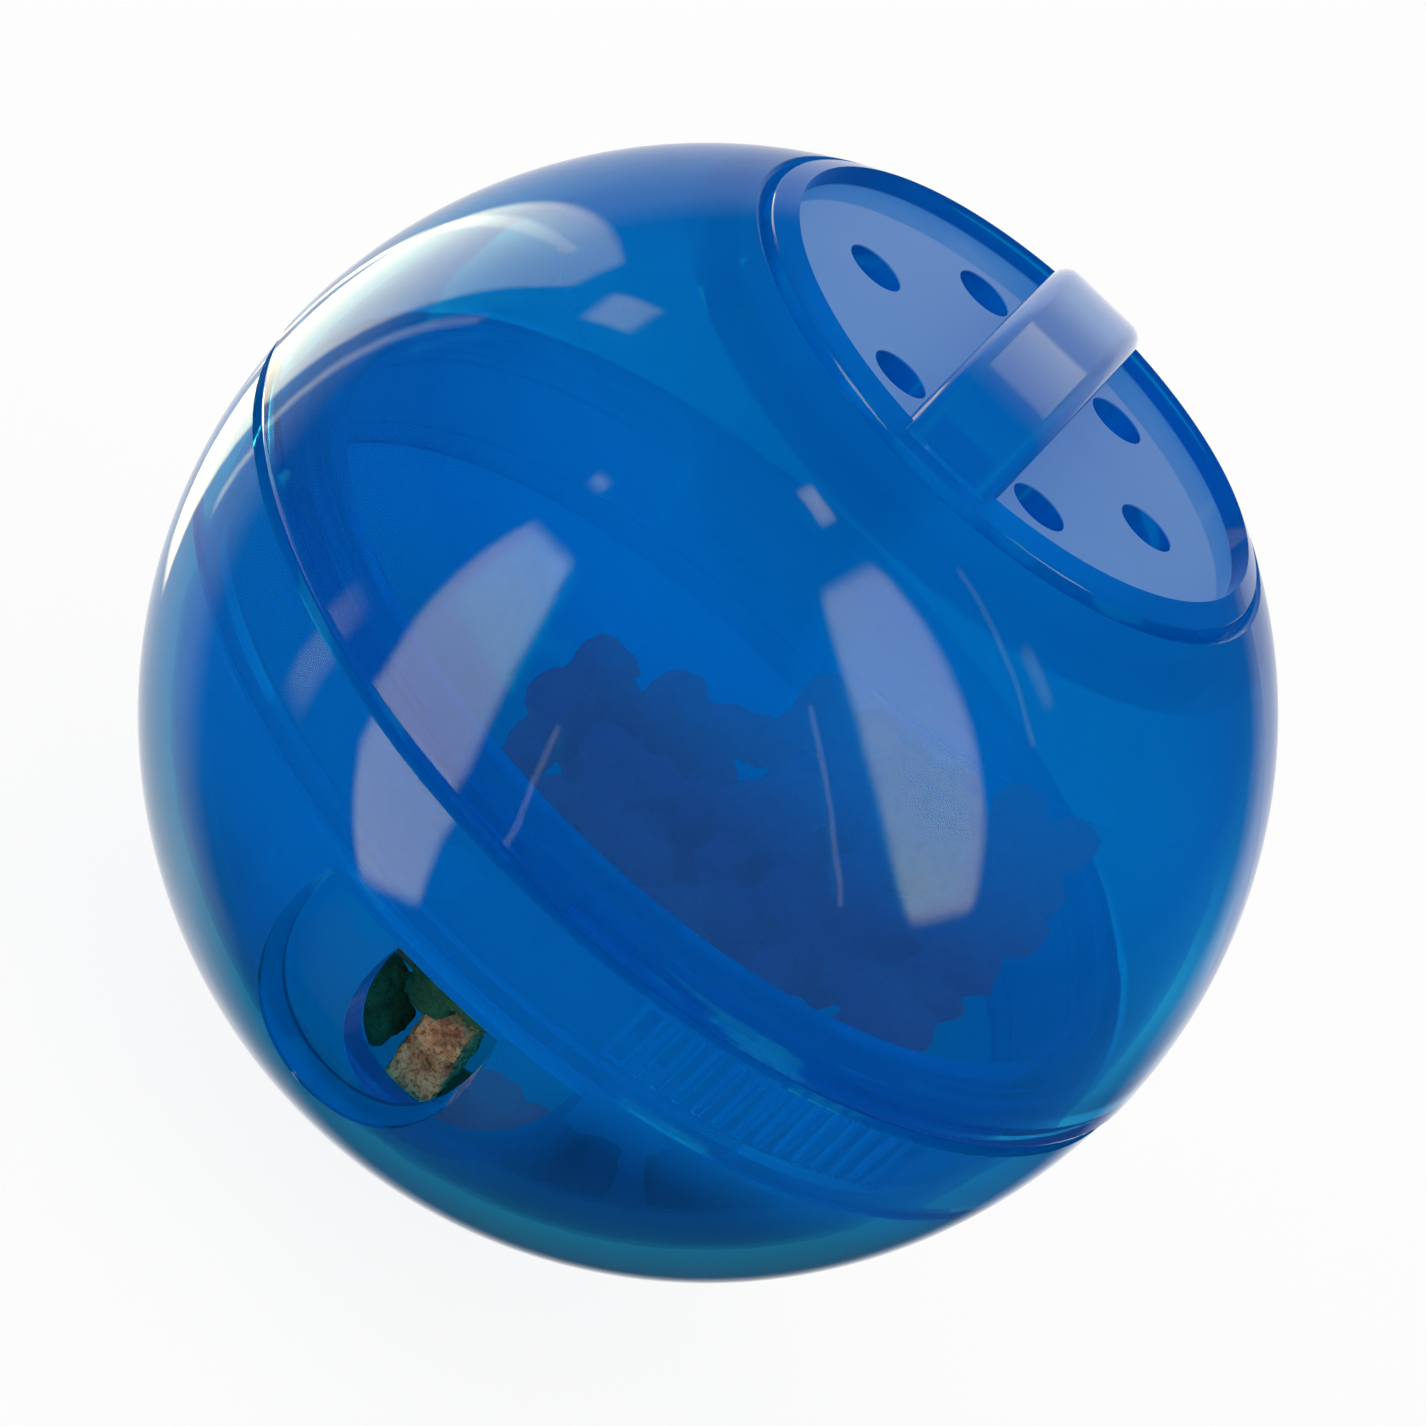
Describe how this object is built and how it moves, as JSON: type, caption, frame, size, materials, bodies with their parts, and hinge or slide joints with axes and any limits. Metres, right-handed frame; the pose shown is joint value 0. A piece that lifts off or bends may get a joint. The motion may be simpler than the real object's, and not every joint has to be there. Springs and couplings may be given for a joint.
{
  "type": "treat dispensing ball",
  "caption": "Hollow ball for a pet: two shells turn on each other to set a side window that drops dry treats, filled through a round lid with a bar grip.",
  "frame": {"origin": "centre of the ball, in the plane of the seam between the two shells", "axes": "+Z along the axis that the shells turn about, out through the lid; +X and +Y lie in the seam, with the window near -Y and the lid's bar along Y"},
  "size_m": [0.0764, 0.0764, 0.0764],
  "materials": {
    "shell_plastic": "polished clear blue moulding",
    "cup_plastic": "polished clear blue moulding",
    "lid_plastic": "polished clear blue moulding with a fine matte face",
    "treat": "dry, rough baked crumb"
  },
  "bodies": {
    "lower_half": {"lower_shell": "shell_plastic"},
    "upper_half": {"upper_shell": "shell_plastic", "inner_cup": "cup_plastic", "treats": "treat"},
    "lid": {"lid": "lid_plastic"}
  },
  "joints": [
    {"name": "opening_turn", "type": "hinge", "parent": "lower_half", "child": "upper_half", "pos_m": [0, 0, 0], "axis": [0, 0, 1], "range_deg": [-10.8, 19]},
    {"name": "lid_lift", "type": "slide", "parent": "upper_half", "child": "lid", "axis": [0, 0, 1], "range_m": [0, 0.03]}
  ]
}
